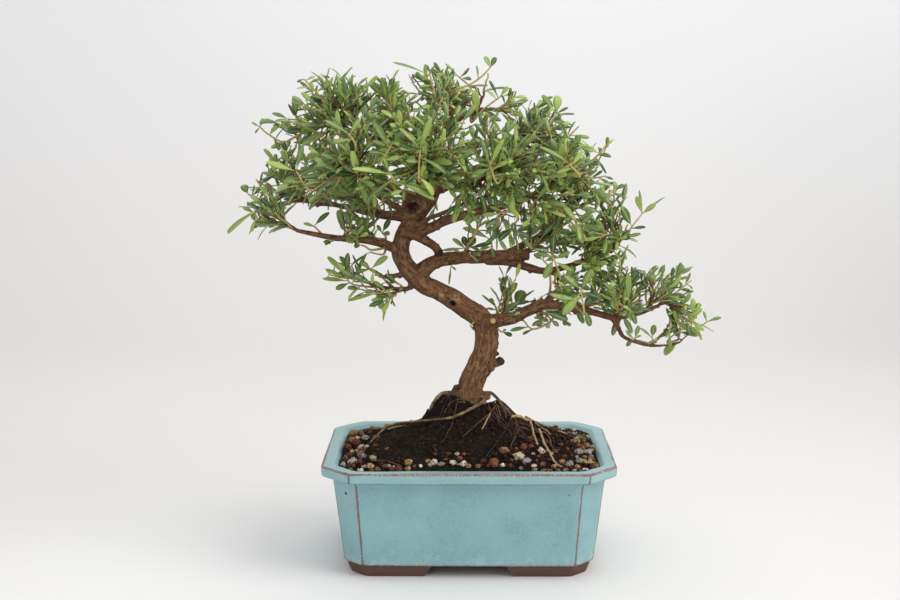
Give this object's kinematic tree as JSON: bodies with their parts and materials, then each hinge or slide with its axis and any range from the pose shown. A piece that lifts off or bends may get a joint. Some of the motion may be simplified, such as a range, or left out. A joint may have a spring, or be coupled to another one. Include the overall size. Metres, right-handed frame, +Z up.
{
  "type": "coprosma bonsai in a pot",
  "caption": "Small evergreen bonsai tree with a curved trunk, spreading limbs and narrow paired leaves, growing in a shallow glazed rectangular pot with cut corners.",
  "frame": {"origin": "bottom centre of the whole object's box, on the surface that the pot's feet stand on", "axes": "+X to the right along the pot's long side, +Y to the back of the pot, +Z up the tree"},
  "size_m": [0.2614, 0.1458, 0.2781],
  "materials": {
    "glaze": "pale turquoise gloss glaze that thins to brown on the edges, bare brown clay feet",
    "soil": "dark damp soil with cream, tan and orange-brown grit",
    "bark": "rough reddish-brown bark",
    "twig": "smooth tan to yellow-brown young stem",
    "leaf": "glossy mid-green above, paler matt grey-green below",
    "netting": "matt black",
    "wire": "black coated wire",
    "seedling": "bright green"
  },
  "bodies": {
    "root": {"pot": "glaze", "soil": "soil", "tree_wood": "bark", "drain_mesh_left": "netting", "drain_mesh_right": "netting", "tie_wire": "wire", "seedling": "seedling", "spray_01": "leaf", "spray_02": "leaf", "spray_03": "leaf", "spray_04": "leaf", "spray_05": "leaf", "spray_06": "leaf", "spray_07": "leaf", "spray_08": "leaf", "spray_09": "leaf", "spray_10": "leaf", "spray_11": "leaf", "spray_12": "leaf", "spray_13": "leaf", "spray_14": "leaf", "spray_15": "leaf", "spray_16": "leaf", "spray_17": "leaf", "spray_18": "leaf", "spray_19": "leaf", "spray_20": "leaf", "spray_21": "leaf", "spray_22": "leaf", "spray_23": "leaf", "spray_24": "leaf", "spray_25": "leaf", "spray_26": "leaf", "spray_27": "leaf", "spray_28": "leaf", "spray_29": "leaf", "spray_30": "leaf", "spray_31": "leaf", "spray_32": "leaf", "spray_33": "leaf", "spray_34": "leaf", "spray_35": "leaf", "spray_36": "leaf", "spray_37": "leaf", "spray_38": "leaf", "spray_39": "leaf", "spray_40": "leaf", "spray_41": "leaf", "spray_42": "leaf", "spray_43": "leaf", "spray_44": "leaf", "spray_45": "leaf", "spray_46": "leaf", "spray_47": "leaf", "spray_48": "leaf", "spray_49": "leaf", "spray_50": "leaf", "spray_51": "leaf", "spray_52": "leaf", "spray_53": "leaf"}
  },
  "joints": []
}
